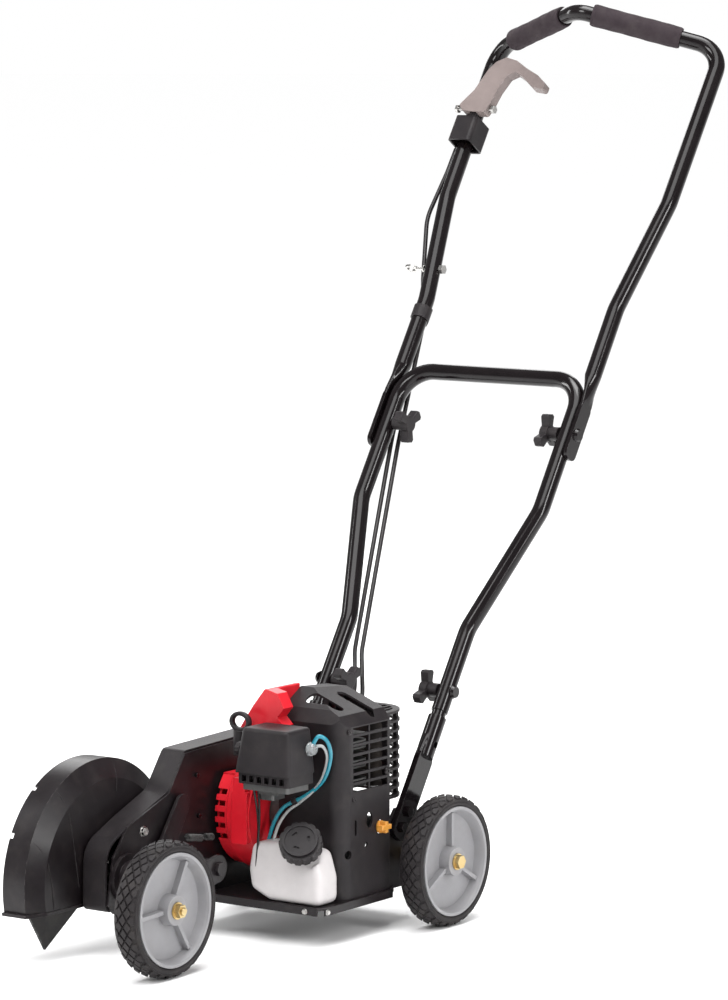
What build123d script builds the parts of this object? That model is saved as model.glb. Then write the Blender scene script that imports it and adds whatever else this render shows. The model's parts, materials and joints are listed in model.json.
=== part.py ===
from build123d import *
import math
import os

os.makedirs("parts", exist_ok=True)

# Walk-behind lawn edger.  Millimetres.
# X points to the machine's left, -Y is forward, Z is up.  The origin is on the ground, under the
# middle of the rear axle.

# ---- driving dimensions --------------------------------------------------------------------------
WHEEL_R = 83.0
WHEEL_W = 33.0
RIM_R = 69.5
AXLE_R = 5.0
RUN_FIT = 0.06
REAR_WHEEL_X = 139.5
FRONT_WHEEL_X = 37.0
FRONT_WHEEL_Y = -445.0

TUBE_R = 11.1
TUBE_WALL = 1.6
LEAN = 56.8
FOOT_Y = -33.0
FOOT_Z = 129.0
FOOT_X = 93.4
LOWER_BOLT_S = 187.0
NARROW_S = 275.5
WIDE_S = 450.5
WIDE_X = 141.6
FOLD_S = 563.7
BAR_S = 643.9
UPPER_X = 151.0
FLARE_S = 752.4
SPREAD_S = 913.5
SPREAD_X = 177.0
TOP_S = 1154.6
TOP_X = 180.0
PEAK_Y = 516.0
PEAK_Z = 1147.0
FLAT_T = 5.0

DECK_Z = 48.0
DECK_T = 3.0
DECK_LEFT = 102.0
DECK_FRONT = -215.0
DECK_BACK = 22.0
PLATE_X = -83.0
PLATE_T = 3.0
EAR_X = 86.9

BLADE_X = -143.0
BLADE_Y = -372.0
BLADE_Z = 96.0
BLADE_L = 228.6
BLADE_W = 50.8
BLADE_T = 3.0
BLADE_TILT = 33.0
SPINDLE_R = 7.9
GUARD_Y = -356.0
GUARD_Z = 90.0
GUARD_R = 146.0
GUARD_WALL = 3.0
GUARD_OUT = -168.0
GUARD_STEP = -134.0
GUARD_IN = -122.0
GUARD_FOOT = 60.0
GUARD_NOTCHES = (27, 64, 126, 153)

CRANK_Y = -128.0
CRANK_Z = 150.0
CRANK_R = 6.0
SHROUD_X = 97.0
SHROUD_FRONT = -165.0
SHROUD_BACK = -62.0
SHROUD_WALL = 3.0

COS = math.cos(math.radians(LEAN))
SIN = math.sin(math.radians(LEAN))
DECK_TOP = DECK_Z + DECK_T


def save(builder, label):
    builder.part.label = label
    export_step(builder.part, f"parts/{label}.step")
    print(label, round(builder.part.volume))


def on_handle(x, s, n=0.0):
    """A point s along the leaning handle and n in front of it."""
    return (x, FOOT_Y + s * COS - n * SIN, FOOT_Z + s * SIN + n * COS)


def handle_plane(x, s, n=0.0):
    """Looks outboard (+X); its own X runs up the handle and its own Y points forward."""
    return Plane(origin=on_handle(x, s, n), x_dir=(0, COS, SIN), z_dir=(1, 0, 0))


def facing_x(x, y, z):
    """A vertical plane facing +X at a point; its own X is world Y and its own Y is world Z."""
    return Plane(origin=(x, y, z), x_dir=(0, 1, 0), z_dir=(1, 0, 0))


def side_plane(x):
    return facing_x(x, 0, 0)


def front_plane(y):
    """A vertical plane facing -Y; its own X is world X and its own Y is world Z."""
    return Plane(origin=(0, y, 0), x_dir=(1, 0, 0), z_dir=(0, -1, 0))


def tube_along(points, radii, outer, wall):
    """A round tube along straight runs joined by arcs."""
    with BuildPart() as made:
        with BuildLine() as route:
            FilletPolyline(*points, radius=radii)
        with BuildSketch(Plane(origin=route.line @ 0, z_dir=route.line % 0)):
            Circle(outer)
            if wall:
                Circle(outer - wall, mode=Mode.SUBTRACT)
        sweep(path=route.line)
    return made


# ---- wheels --------------------------------------------------------------------------------------
def tyre(x, y, label):
    """A moulded tyre shell with rounded shoulders."""
    half = WHEEL_W / 2
    with BuildPart() as made:
        with BuildSketch(Plane(origin=(x, y, WHEEL_R), x_dir=(1, 0, 0), z_dir=(0, -1, 0))):
            with BuildLine():
                Polyline(
                    (-half + 2, RIM_R + 0.1), (half - 2, RIM_R + 0.1), (half, RIM_R + 3),
                    (half, WHEEL_R - 6),
                )
                RadiusArc((half, WHEEL_R - 6), (half - 7, WHEEL_R), -7.5)
                Line((half - 7, WHEEL_R), (-half + 7, WHEEL_R))
                RadiusArc((-half + 7, WHEEL_R), (-half, WHEEL_R - 6), -7.5)
                Polyline((-half, WHEEL_R - 6), (-half, RIM_R + 3), (-half + 2, RIM_R + 0.1))
            make_face()
        revolve(axis=Axis((x, y, WHEEL_R), (1, 0, 0)))
    save(made, label)


def hub(x, y, side, turn, label):
    """A moulded wheel: rim lip, dished web, three ribs and a boss.  side is +1 with the dish to +X."""
    half = WHEEL_W / 2
    with BuildPart() as made:
        with BuildSketch(Plane(origin=(x, y, WHEEL_R), x_dir=(side, 0, 0), z_dir=(0, -side, 0))):
            with BuildLine():
                Polyline(
                    (-half + 1, RIM_R), (half, RIM_R), (half, RIM_R - 4), (half - 3, RIM_R - 5.5),
                    (3, RIM_R - 9), (3, 19), (half + 1, 18), (half + 1, AXLE_R + RUN_FIT),
                    (-half - 1, AXLE_R + RUN_FIT), (-half - 1, 15), (-2, 15), (-2, RIM_R - 9),
                    (-half + 1, RIM_R - 5), (-half + 1, RIM_R),
                )
            make_face()
        revolve(axis=Axis((x, y, WHEEL_R), (1, 0, 0)))
        with BuildSketch(Plane(origin=(x + side * 2.5, y, WHEEL_R), x_dir=(0, 1, 0), z_dir=(side, 0, 0))):
            with PolarLocations((17 + RIM_R - 8) / 2, 3, start_angle=turn):
                Rectangle(RIM_R - 8 - 17, 5)
        extrude(amount=9)
    save(made, label)


WHEELS = {
    "front": (FRONT_WHEEL_X, FRONT_WHEEL_Y, 1, 62),
    "rear_left": (REAR_WHEEL_X, 0.0, 1, 90),
    "rear_right": (-REAR_WHEEL_X, 0.0, -1, 90),
}
for name, (wheel_x, wheel_y, wheel_side, spoke_turn) in WHEELS.items():
    tyre(wheel_x, wheel_y, f"{name}_tyre")
    hub(wheel_x, wheel_y, wheel_side, spoke_turn, f"{name}_hub")

# Front axle bolt: the head bears on the arm, the nut is outside.
ARM_X = FRONT_WHEEL_X - WHEEL_W / 2 - 9
ARM_T = 5.0
FRONT_TIP = FRONT_WHEEL_X + WHEEL_W / 2
with BuildPart() as front_axle_bolt:
    with BuildSketch(facing_x(ARM_X - 6, FRONT_WHEEL_Y, WHEEL_R)):
        RegularPolygon(9, 6)
    extrude(amount=6)
    with BuildSketch(facing_x(ARM_X, FRONT_WHEEL_Y, WHEEL_R)):
        Circle(AXLE_R)
    extrude(amount=FRONT_TIP + 13 - ARM_X)
    chamfer(front_axle_bolt.edges().filter_by(GeomType.CIRCLE).sort_by(Axis.X)[-1], 1)
    with BuildSketch(facing_x(ARM_X + ARM_T, FRONT_WHEEL_Y, WHEEL_R)):
        Circle(8)
    extrude(amount=FRONT_WHEEL_X - WHEEL_W / 2 - 1.3 - ARM_X - ARM_T)
save(front_axle_bolt, "front_axle_bolt")

with BuildPart() as front_axle_nut:
    with BuildSketch(facing_x(FRONT_TIP + 1.4, FRONT_WHEEL_Y, WHEEL_R)):
        Circle(10.5)
        Circle(AXLE_R, mode=Mode.SUBTRACT)
    extrude(amount=1.6)
    with BuildSketch(facing_x(FRONT_TIP + 3, FRONT_WHEEL_Y, WHEEL_R)):
        RegularPolygon(8.6, 6)
        Circle(AXLE_R, mode=Mode.SUBTRACT)
    extrude(amount=7)
save(front_axle_nut, "front_axle_nut")

# Rear wheel bolts, one each side: hex head outside, shoulder spacer against the deck's ear.
REAR_OUT = REAR_WHEEL_X + WHEEL_W / 2
REAR_IN = REAR_WHEEL_X - WHEEL_W / 2
with BuildPart() as rear_axle_bolts:
    for side in (1, -1):
        def across(x):
            return Plane(origin=(side * x, 0, WHEEL_R), x_dir=(0, 1, 0), z_dir=(side, 0, 0))

        with BuildSketch(across(EAR_X - 12)):
            Circle(AXLE_R)
        extrude(amount=REAR_OUT + 2 - EAR_X + 12)
        with BuildSketch(across(EAR_X + DECK_T)):
            Circle(9)
        extrude(amount=REAR_IN - 1.4 - EAR_X - DECK_T)
        with BuildSketch(across(REAR_OUT + 1.4)):
            Circle(10.5)
        extrude(amount=1.4)
        with BuildSketch(across(REAR_OUT + 2.8)):
            RegularPolygon(9, 6)
        extrude(amount=6)
save(rear_axle_bolts, "rear_axle_bolts")

with BuildPart() as rear_axle_nuts:
    for side in (1, -1):
        inner = Plane(origin=(side * EAR_X, 0, WHEEL_R), x_dir=(0, 1, 0), z_dir=(-side, 0, 0))
        with BuildSketch(inner):
            RegularPolygon(8.6, 6)
            Circle(AXLE_R, mode=Mode.SUBTRACT)
        extrude(amount=7)
save(rear_axle_nuts, "rear_axle_nuts")

# ---- deck and side plate -------------------------------------------------------------------------
with BuildPart() as deck:
    with BuildSketch(Plane.XY.offset(DECK_Z)):
        with BuildLine():
            Polyline(
                (PLATE_X + PLATE_T, DECK_FRONT), (DECK_LEFT - 6, DECK_FRONT), (DECK_LEFT, DECK_FRONT + 8),
                (DECK_LEFT, -60), (EAR_X + DECK_T, -45), (EAR_X + DECK_T, DECK_BACK),
                (-EAR_X - DECK_T, DECK_BACK), (-EAR_X - DECK_T, -60), (PLATE_X + PLATE_T, -60),
                (PLATE_X + PLATE_T, DECK_FRONT),
            )
        make_face()
    extrude(amount=DECK_T)
    with BuildSketch(Plane.XY.offset(DECK_Z - 7)):
        with Locations(((DECK_LEFT + PLATE_X + PLATE_T) / 2 - 4, DECK_FRONT + 1.25)):
            Rectangle(DECK_LEFT - PLATE_X - PLATE_T - 8, 2.5)
        with Locations((DECK_LEFT - 1.25, (DECK_FRONT - 50) / 2 - 2)):
            Rectangle(2.5, -60 - DECK_FRONT - 10)
    extrude(amount=7.5)
    for side in (1, -1):
        with BuildSketch(side_plane(side * (EAR_X + DECK_T / 2))):
            with BuildLine():
                Polyline(
                    (-56, DECK_Z), (DECK_BACK, DECK_Z), (DECK_BACK, 118), (4, 150), (-40, 150), (-56, 132),
                    (-56, DECK_Z),
                )
            make_face()
            with Locations((0, WHEEL_R)):
                Circle(AXLE_R, mode=Mode.SUBTRACT)
        extrude(amount=DECK_T / 2, both=True)
save(deck, "deck")

# The side plate carries the blade spindle, the front wheel arm and the belt cover.
DROP_FRONT = BLADE_Y - 36
with BuildPart() as side_plate:
    with BuildSketch(side_plane(PLATE_X)):
        with BuildLine():
            Polyline(
                (-62, DECK_Z), (DROP_FRONT + 12, DECK_Z + 6), (DROP_FRONT, 66), (DROP_FRONT + 12, 124),
                (-368, 158), (-286, 187), (-252, 233), (-90, 239), (-62, 212), (-62, DECK_Z),
            )
        make_face()
        with Locations((BLADE_Y, BLADE_Z)):
            Circle(16, mode=Mode.SUBTRACT)
        with Locations((CRANK_Y, CRANK_Z)):
            Circle(42, mode=Mode.SUBTRACT)
    extrude(amount=PLATE_T)
save(side_plate, "side_plate")

# ---- belt cover: a moulded tray over the belt, open toward the side plate --------------------------
COVER_X = -120.0
COVER_ROUTE = [
    (-64, 54), (DROP_FRONT - 2, 57), (DROP_FRONT, 138), (-350, 164), (-284, 190), (-250, 236),
    (-92, 241), (-64, 214), (-64, 54),
]
COVER_ROUNDS = [9, 9, 36, 20, 20, 9, 14, 9]
with BuildPart() as belt_cover:
    with BuildSketch(side_plane(COVER_X)):
        with BuildLine():
            FilletPolyline(*COVER_ROUTE, radius=COVER_ROUNDS)
        make_face()
    extrude(amount=PLATE_X - COVER_X)
    chamfer(belt_cover.faces().sort_by(Axis.X)[0].edges(), 2.5)
    with BuildSketch(side_plane(COVER_X + 3)):
        with BuildLine():
            FilletPolyline(*COVER_ROUTE, radius=COVER_ROUNDS)
        make_face()
        offset(amount=-3)
    extrude(amount=PLATE_X - COVER_X, mode=Mode.SUBTRACT)
    with BuildSketch(side_plane(COVER_X)):
        with Locations((BLADE_Y, BLADE_Z)):
            Circle(14)
    extrude(amount=5, mode=Mode.SUBTRACT)
save(belt_cover, "belt_cover")

# ---- blade guard: half a drum with a bevelled inner wall, open on the outside and below -----------
with BuildPart() as blade_guard:
    with BuildSketch(Plane(origin=(0, GUARD_Y, GUARD_Z), x_dir=(1, 0, 0), z_dir=(0, -1, 0))):
        with BuildLine():
            Polyline(
                (GUARD_OUT, GUARD_R), (GUARD_STEP, GUARD_R), (GUARD_IN, GUARD_R - 24), (GUARD_IN, 0),
                (GUARD_IN - GUARD_WALL, 0), (GUARD_IN - GUARD_WALL, GUARD_R - 26),
                (GUARD_STEP - 2, GUARD_R - GUARD_WALL), (GUARD_OUT, GUARD_R - GUARD_WALL), (GUARD_OUT, GUARD_R),
            )
        make_face()
    revolve(axis=Axis((0, GUARD_Y, GUARD_Z), (1, 0, 0)))
    with BuildSketch(Plane.XY.offset(GUARD_FOOT)):
        with Locations(((GUARD_OUT + GUARD_IN) / 2, GUARD_Y)):
            Rectangle(120, 400)
    extrude(amount=-200, mode=Mode.SUBTRACT)
    FRONT_LIP = GUARD_Y - math.sqrt(GUARD_R ** 2 - (GUARD_Z - GUARD_FOOT) ** 2)
    BACK_LIP = 2 * GUARD_Y - FRONT_LIP
    with BuildSketch(Plane.XY.offset(GUARD_FOOT)):
        with BuildLine():
            Polyline(
                (GUARD_OUT, FRONT_LIP - 5), (GUARD_STEP + 3, FRONT_LIP - 5), (GUARD_IN + 1.5, FRONT_LIP + 24),
                (GUARD_IN + 1.5, BACK_LIP - 24), (GUARD_STEP + 3, BACK_LIP + 5), (GUARD_OUT, BACK_LIP + 5),
                (GUARD_OUT, BACK_LIP - 2), (GUARD_STEP - 2, BACK_LIP - 2), (GUARD_IN - 3, BACK_LIP - 28),
                (GUARD_IN - 3, FRONT_LIP + 28), (GUARD_STEP - 2, FRONT_LIP + 2), (GUARD_OUT, FRONT_LIP + 2),
                (GUARD_OUT, FRONT_LIP - 5),
            )
        make_face()
    extrude(amount=4)
    with BuildSketch(side_plane(GUARD_IN)):
        with Locations((BLADE_Y, BLADE_Z)):
            Circle(14)
    extrude(amount=-6, mode=Mode.SUBTRACT)
    # Notches in the open rim.
    with BuildSketch(facing_x(GUARD_OUT, GUARD_Y, GUARD_Z)):
        for turn in GUARD_NOTCHES:
            with PolarLocations(GUARD_R, 1, start_angle=turn):
                Rectangle(14, 7)
    extrude(amount=5, mode=Mode.SUBTRACT)
save(blade_guard, "blade_guard")

COVER_SCREWS = [(-272, 168), (-231, 203), (-227, 151), (-80, 205), (-76, 75), (-250, 70)]
LUG_SCREW = (-338, 148)
with BuildPart() as cover_screws:
    with BuildSketch(side_plane(PLATE_X + PLATE_T)):
        with Locations(*COVER_SCREWS):
            Circle(3)
        with Locations(LUG_SCREW):
            Circle(5.2)
    extrude(amount=4)
save(cover_screws, "cover_screws")

# ---- blade, spindle and belt drive ----------------------------------------------------------------
def on_blade_axis(x):
    return facing_x(x, BLADE_Y, BLADE_Z)


def on_crank_axis(x):
    return facing_x(x, CRANK_Y, CRANK_Z)


with BuildPart() as blade:
    with BuildSketch(on_blade_axis(BLADE_X)):
        Rectangle(BLADE_L, BLADE_W, rotation=BLADE_TILT)
        Circle(SPINDLE_R, mode=Mode.SUBTRACT)
    extrude(amount=BLADE_T / 2, both=True)
save(blade, "blade")

HOUSING_END = -46.0
with BuildPart() as spindle_housing:
    with BuildSketch(on_blade_axis(PLATE_X + PLATE_T)):
        Circle(30)
        Circle(16, mode=Mode.SUBTRACT)
    extrude(amount=5)
    with BuildSketch(on_blade_axis(PLATE_X + PLATE_T)):
        Circle(21)
        Circle(16, mode=Mode.SUBTRACT)
    extrude(amount=HOUSING_END - PLATE_X - PLATE_T)
    with BuildSketch(on_blade_axis(-65)):
        Circle(16)
        Circle(12.5, mode=Mode.SUBTRACT)
    extrude(amount=5)
save(spindle_housing, "spindle_housing")

with BuildPart() as spindle_bearings:
    for start in (-76, -59.5):
        with BuildSketch(on_blade_axis(start)):
            Circle(16)
            Circle(SPINDLE_R + RUN_FIT, mode=Mode.SUBTRACT)
        extrude(amount=10)
save(spindle_bearings, "spindle_bearings")

with BuildPart() as blade_spindle:
    with BuildSketch(on_blade_axis(BLADE_X - 14)):
        Circle(SPINDLE_R)
    extrude(amount=HOUSING_END + 2 - BLADE_X + 14)
    with BuildSketch(on_blade_axis(BLADE_X + BLADE_T / 2)):
        Circle(11)
    extrude(amount=24)
save(blade_spindle, "blade_spindle")

with BuildPart() as blade_nut:
    with BuildSketch(on_blade_axis(BLADE_X - BLADE_T / 2)):
        Circle(19)
        Circle(SPINDLE_R, mode=Mode.SUBTRACT)
    extrude(amount=-2.5)
    with BuildSketch(on_blade_axis(BLADE_X - BLADE_T / 2 - 2.5)):
        RegularPolygon(13, 6)
        Circle(SPINDLE_R, mode=Mode.SUBTRACT)
    extrude(amount=-8)
save(blade_nut, "blade_nut")

BELT_X = -101.0
BELT_HALF = 4.5
BELT_T = 7.0
DRIVEN_R = 21.0
DRIVE_R = 27.7
BELT_GAP = 0.35
FLANGE_W = 2.5


def sheave(place, groove_r, bore_r, drum_r, drum_w):
    """A belt pulley: two flanges, a groove and, where drum_w isn't zero, a drum behind it."""
    flange_r = groove_r + 6.5
    start = BELT_X - BELT_HALF - BELT_GAP - FLANGE_W
    steps = [(flange_r, FLANGE_W), (groove_r, 2 * (BELT_HALF + BELT_GAP)), (flange_r, FLANGE_W)]
    if drum_w:
        steps.append((drum_r, drum_w))
    with BuildPart() as made:
        for radius, width in steps:
            with BuildSketch(place(start)):
                Circle(radius)
                Circle(bore_r, mode=Mode.SUBTRACT)
            extrude(amount=width)
            start += width
    return made


driven_pulley = sheave(on_blade_axis, DRIVEN_R, SPINDLE_R, 0, 0)
save(driven_pulley, "driven_pulley")

drive_pulley = sheave(on_crank_axis, DRIVE_R, CRANK_R, 37, 16)
save(drive_pulley, "drive_pulley")

with BuildPart() as drive_belt:
    with BuildSketch(side_plane(BELT_X)):
        with Locations((BLADE_Y, BLADE_Z)):
            Circle(DRIVEN_R + BELT_GAP + BELT_T)
        with Locations((CRANK_Y, CRANK_Z)):
            Circle(DRIVE_R + BELT_GAP + BELT_T)
        make_hull()
    extrude(amount=BELT_HALF, both=True)
    with BuildSketch(side_plane(BELT_X)):
        with Locations((BLADE_Y, BLADE_Z)):
            Circle(DRIVEN_R + BELT_GAP)
        with Locations((CRANK_Y, CRANK_Z)):
            Circle(DRIVE_R + BELT_GAP)
        make_hull()
    extrude(amount=BELT_HALF, both=True, mode=Mode.SUBTRACT)
save(drive_belt, "drive_belt")

# ---- front wheel arm: a cross tube in the side plate's lug, an arm plate and a depth lever --------
ARM_Y = -312.0
ARM_Z = 108.0
with BuildPart() as front_wheel_arm:
    with BuildSketch(facing_x(PLATE_X + PLATE_T + 0.4, ARM_Y, ARM_Z)):
        Circle(11)
    extrude(amount=ARM_X - PLATE_X - PLATE_T - 0.4)
    with BuildSketch(side_plane(ARM_X)):
        with Locations((ARM_Y, ARM_Z)):
            Circle(17)
        with Locations((FRONT_WHEEL_Y, WHEEL_R)):
            Circle(15)
        make_hull()
        with Locations((FRONT_WHEEL_Y, WHEEL_R)):
            Circle(AXLE_R, mode=Mode.SUBTRACT)
    extrude(amount=ARM_T)
    with BuildSketch(side_plane(PLATE_X + PLATE_T + 5)):
        with Locations((ARM_Y, ARM_Z)):
            Circle(16)
        with Locations((-268, 172)):
            Circle(13)
        make_hull()
    extrude(amount=4)
save(front_wheel_arm, "front_wheel_arm")

with BuildPart() as arm_pivot_bolt:
    with BuildSketch(facing_x(ARM_X + ARM_T + 0.3, ARM_Y, ARM_Z)):
        RegularPolygon(9, 6)
    extrude(amount=5)
save(arm_pivot_bolt, "arm_pivot_bolt")


def coil(start, end, mean_r, wire_r, turns):
    """An extension spring as a stack of rings on a core, one closed solid."""
    span = Vector(*end) - Vector(*start)
    length = span.length
    axis_dir = span.normalized()
    pitch = length / turns
    with BuildPart() as made:
        with BuildSketch(Plane(origin=start, z_dir=axis_dir)):
            Circle(mean_r)
        extrude(amount=length)
        for turn in range(turns):
            middle = Vector(*start) + axis_dir * pitch * (turn + 0.5)
            with BuildSketch(Plane(origin=middle, z_dir=axis_dir)):
                Circle(mean_r + wire_r)
            extrude(amount=pitch * 0.32, both=True)
    return made.part


with BuildPart() as depth_springs:
    add(coil((-75.2, -256, 128), (-75.2, -226, 123), 3.6, 1.2, 8))
    add(coil((-75.2, -219, 123), (-75.2, -203, 121), 3.6, 1.2, 5))
save(depth_springs, "depth_springs")

STARTER_R = 77.0
STARTER_END = -73.0
STARTER_IN = -17.0
STARTER_TOP = 200.0
STARTER_LID = 55.0
BOSS_R = 34.0
OIL_Y = -83.0
OIL_Z = 134.0

# ---- engine --------------------------------------------------------------------------------------
with BuildPart() as engine_block:
    with BuildSketch(on_crank_axis(4)):
        with Locations((2, -6)):
            RectangleRounded(66, 74, 14)
    extrude(amount=80)
    with BuildSketch(Plane(origin=(44, CRANK_Y + 14, CRANK_Z + 28), z_dir=(0, 0, 1))):
        Circle(23)
    extrude(amount=88)
    for fin in range(9):
        with BuildSketch(Plane(origin=(44, CRANK_Y + 14, CRANK_Z + 36 + 8 * fin), z_dir=(0, 0, 1))):
            RectangleRounded(72, 62, 10)
        extrude(amount=2.4)
    with BuildSketch(on_crank_axis(STARTER_IN - 3)):
        Circle(BOSS_R)
    extrude(amount=4 - STARTER_IN + 3)
    with BuildSketch(side_plane(60)):
        with Locations((OIL_Y, OIL_Z)):
            Circle(12)
    extrude(amount=28)
    with BuildSketch(on_crank_axis(STARTER_IN - 3)):
        Circle(CRANK_R + RUN_FIT)
    extrude(amount=60 - STARTER_IN + 3, mode=Mode.SUBTRACT)
    with BuildSketch(Plane.XY.offset(DECK_TOP)):
        with Locations((30, CRANK_Y), (70, CRANK_Y)):
            Rectangle(18, 50)
    extrude(amount=62)
save(engine_block, "engine_block")

with BuildPart() as crankshaft:
    with BuildSketch(on_crank_axis(BELT_X - 12)):
        Circle(CRANK_R)
    extrude(amount=60 - BELT_X + 12)
save(crankshaft, "crankshaft")

with BuildPart() as starter_housing:
    with BuildSketch(Plane(origin=(0, CRANK_Y, CRANK_Z), x_dir=(1, 0, 0), z_dir=(0, -1, 0))):
        with BuildLine():
            Polyline(
                (STARTER_IN, STARTER_R), (-52, STARTER_R), (-56, STARTER_R - 4), (STARTER_END, STARTER_R - 4),
                (STARTER_END, 45), (STARTER_END + 3, 45), (STARTER_END + 3, STARTER_R - 8),
                (-57, STARTER_R - 8), (-52, STARTER_R - 4), (STARTER_IN - 3, STARTER_R - 4),
                (STARTER_IN - 3, BOSS_R), (STARTER_IN, BOSS_R), (STARTER_IN, STARTER_R),
            )
        make_face()
    revolve(axis=Axis((0, CRANK_Y, CRANK_Z), (1, 0, 0)))
    # Cooling slots between the fins at the outer end.
    for slot in range(5):
        with BuildSketch(facing_x(STARTER_END - 2, 0, 122 + 14 * slot)):
            with Locations((CRANK_Y, 0)):
                Rectangle(2 * STARTER_R + 10, 7)
        extrude(amount=17, mode=Mode.SUBTRACT)
    # Side ring that joins the fins.
    with BuildSketch(on_crank_axis(STARTER_END)):
        Circle(STARTER_R - 9)
        Circle(45, mode=Mode.SUBTRACT)
    extrude(amount=3)
    # Flat boss on the front with a recess.
    with BuildSketch(front_plane(CRANK_Y - STARTER_R + 6)):
        with Locations((-31, CRANK_Z)):
            RectangleRounded(24, 66, 3)
    extrude(amount=8)
    with BuildSketch(front_plane(CRANK_Y - STARTER_R - 2)):
        with Locations((-29, CRANK_Z + 20)):
            Rectangle(14, 10)
    extrude(amount=-2, mode=Mode.SUBTRACT)
    with BuildSketch(Plane.XY.offset(CRANK_Z)):
        with Locations((-31, CRANK_Y - STARTER_R + 2)):
            Rectangle(18, 8)
    extrude(amount=73)
    with BuildSketch(on_crank_axis(-52)):
        Circle(STARTER_R - 4.2)
    extrude(amount=STARTER_IN - 3 + 52, mode=Mode.SUBTRACT)
    # The top is cut flat, below the air cleaner, and closed with a lid.
    with BuildSketch(Plane.XY.offset(STARTER_TOP)):
        with Locations((-45, CRANK_Y)):
            Rectangle(80, 200)
    extrude(amount=60, mode=Mode.SUBTRACT)
    with BuildSketch(Plane.XY.offset(STARTER_TOP - 3)):
        with Locations(((STARTER_END + STARTER_IN) / 2, CRANK_Y)):
            Rectangle(STARTER_IN - STARTER_END, 2 * STARTER_LID)
    extrude(amount=3)
save(starter_housing, "starter_housing")

# Shroud: a moulded box over the engine's left half, open underneath, behind and toward the starter.
ROOF_FRONT = 272.0
ROOF_PEAK = 308.0
SHROUD_CORNER = 20.0


def shroud_body(inset):
    """The shroud's outer form, or with an inset its cavity, which runs out at the back and the right."""
    front = SHROUD_FRONT + inset
    left = SHROUD_X - inset
    back = SHROUD_BACK + inset
    corner = SHROUD_CORNER - inset
    with BuildPart() as made:
        with BuildSketch(Plane.XY.offset(DECK_TOP)):
            with BuildLine():
                Line((-inset, front), (left - corner, front))
                RadiusArc((left - corner, front), (left, front + corner), -corner)
                Polyline((left, front + corner), (left, back), (-inset, back), (-inset, front))
            make_face()
        extrude(amount=ROOF_PEAK - DECK_TOP)
        with BuildSketch(side_plane(-5)):
            with BuildLine():
                Polyline(
                    (front, DECK_TOP), (front, ROOF_FRONT - inset),
                    (SHROUD_FRONT + 12, ROOF_FRONT + 16 - inset), (-118, ROOF_PEAK - inset),
                    (back, ROOF_PEAK - 4 - inset), (back, DECK_TOP), (front, DECK_TOP),
                )
            make_face()
        extrude(amount=SHROUD_X + 10, mode=Mode.INTERSECT)
        with BuildSketch(front_plane(SHROUD_FRONT - 5)):
            with BuildLine():
                Polyline(
                    (-5, DECK_TOP), (-5, ROOF_PEAK - inset), (20, ROOF_PEAK - inset),
                    (SHROUD_X - 10, 282 - inset), (left, 268 - inset), (left, DECK_TOP), (-5, DECK_TOP),
                )
            make_face()
        extrude(amount=SHROUD_FRONT - 10 - SHROUD_BACK - inset, mode=Mode.INTERSECT)
    return made.part


with BuildPart() as engine_shroud:
    add(shroud_body(0))
    add(shroud_body(SHROUD_WALL), mode=Mode.SUBTRACT)
    # Window of louvres in the left face.
    with BuildSketch(side_plane(SHROUD_X - 6)):
        for row in range(7):
            with Locations((-104, 190 + 12 * row)):
                Rectangle(74, 8.6)
    extrude(amount=12, mode=Mode.SUBTRACT)
    with BuildSketch(side_plane(SHROUD_X - 3)):
        with Locations((-106, 221)):
            Rectangle(3, 90)
    extrude(amount=2.6)
    # Drain slot, plug hole and screw holes below the window.
    with BuildSketch(side_plane(SHROUD_X - 6)):
        with Locations((-106, 146)):
            Ellipse(7, 10)
        with Locations((-136, 140)):
            SlotOverall(20, 5, rotation=90)
        with Locations((-150, 108)):
            Circle(5.5)
        with Locations((-113, 116)):
            Circle(3.4)
        with Locations((OIL_Y, OIL_Z)):
            Circle(9)
    extrude(amount=12, mode=Mode.SUBTRACT)
    # Two hand-hold slots in the roof.
    with BuildSketch(Plane.XY.offset(250)):
        with Locations((50, -136), (66, -92)):
            SlotOverall(54, 17)
    extrude(amount=80, mode=Mode.SUBTRACT)
save(engine_shroud, "engine_shroud")

# Red top cover over the cylinder, between the starter housing and the shroud.
with BuildPart() as engine_top_cover:
    with BuildSketch(front_plane(-186)):
        with BuildLine():
            Polyline((-46, 232), (-46, 258), (-24, 290), (-6, 312), (0, 312), (0, 232), (-46, 232))
        make_face()
    extrude(amount=-66)
    fillet(engine_top_cover.edges().filter_by(Axis.Y).group_by(Axis.Z)[-1], 2)
    with BuildSketch(front_plane(-183)):
        with BuildLine():
            Polyline((-43, 231), (-43, 257), (-21, 288), (-6, 307), (-4.5, 307), (-4.5, 231), (-43, 231))
        make_face()
    extrude(amount=-60, mode=Mode.SUBTRACT)
    with BuildSketch(front_plane(-187)):
        with BuildLine():
            Polyline((-2, 268), (-2, 312), (14, 308), (24, 290), (14, 278), (24, 268), (-2, 268))
        make_face()
    extrude(amount=-20)
save(engine_top_cover, "engine_top_cover")

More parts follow.
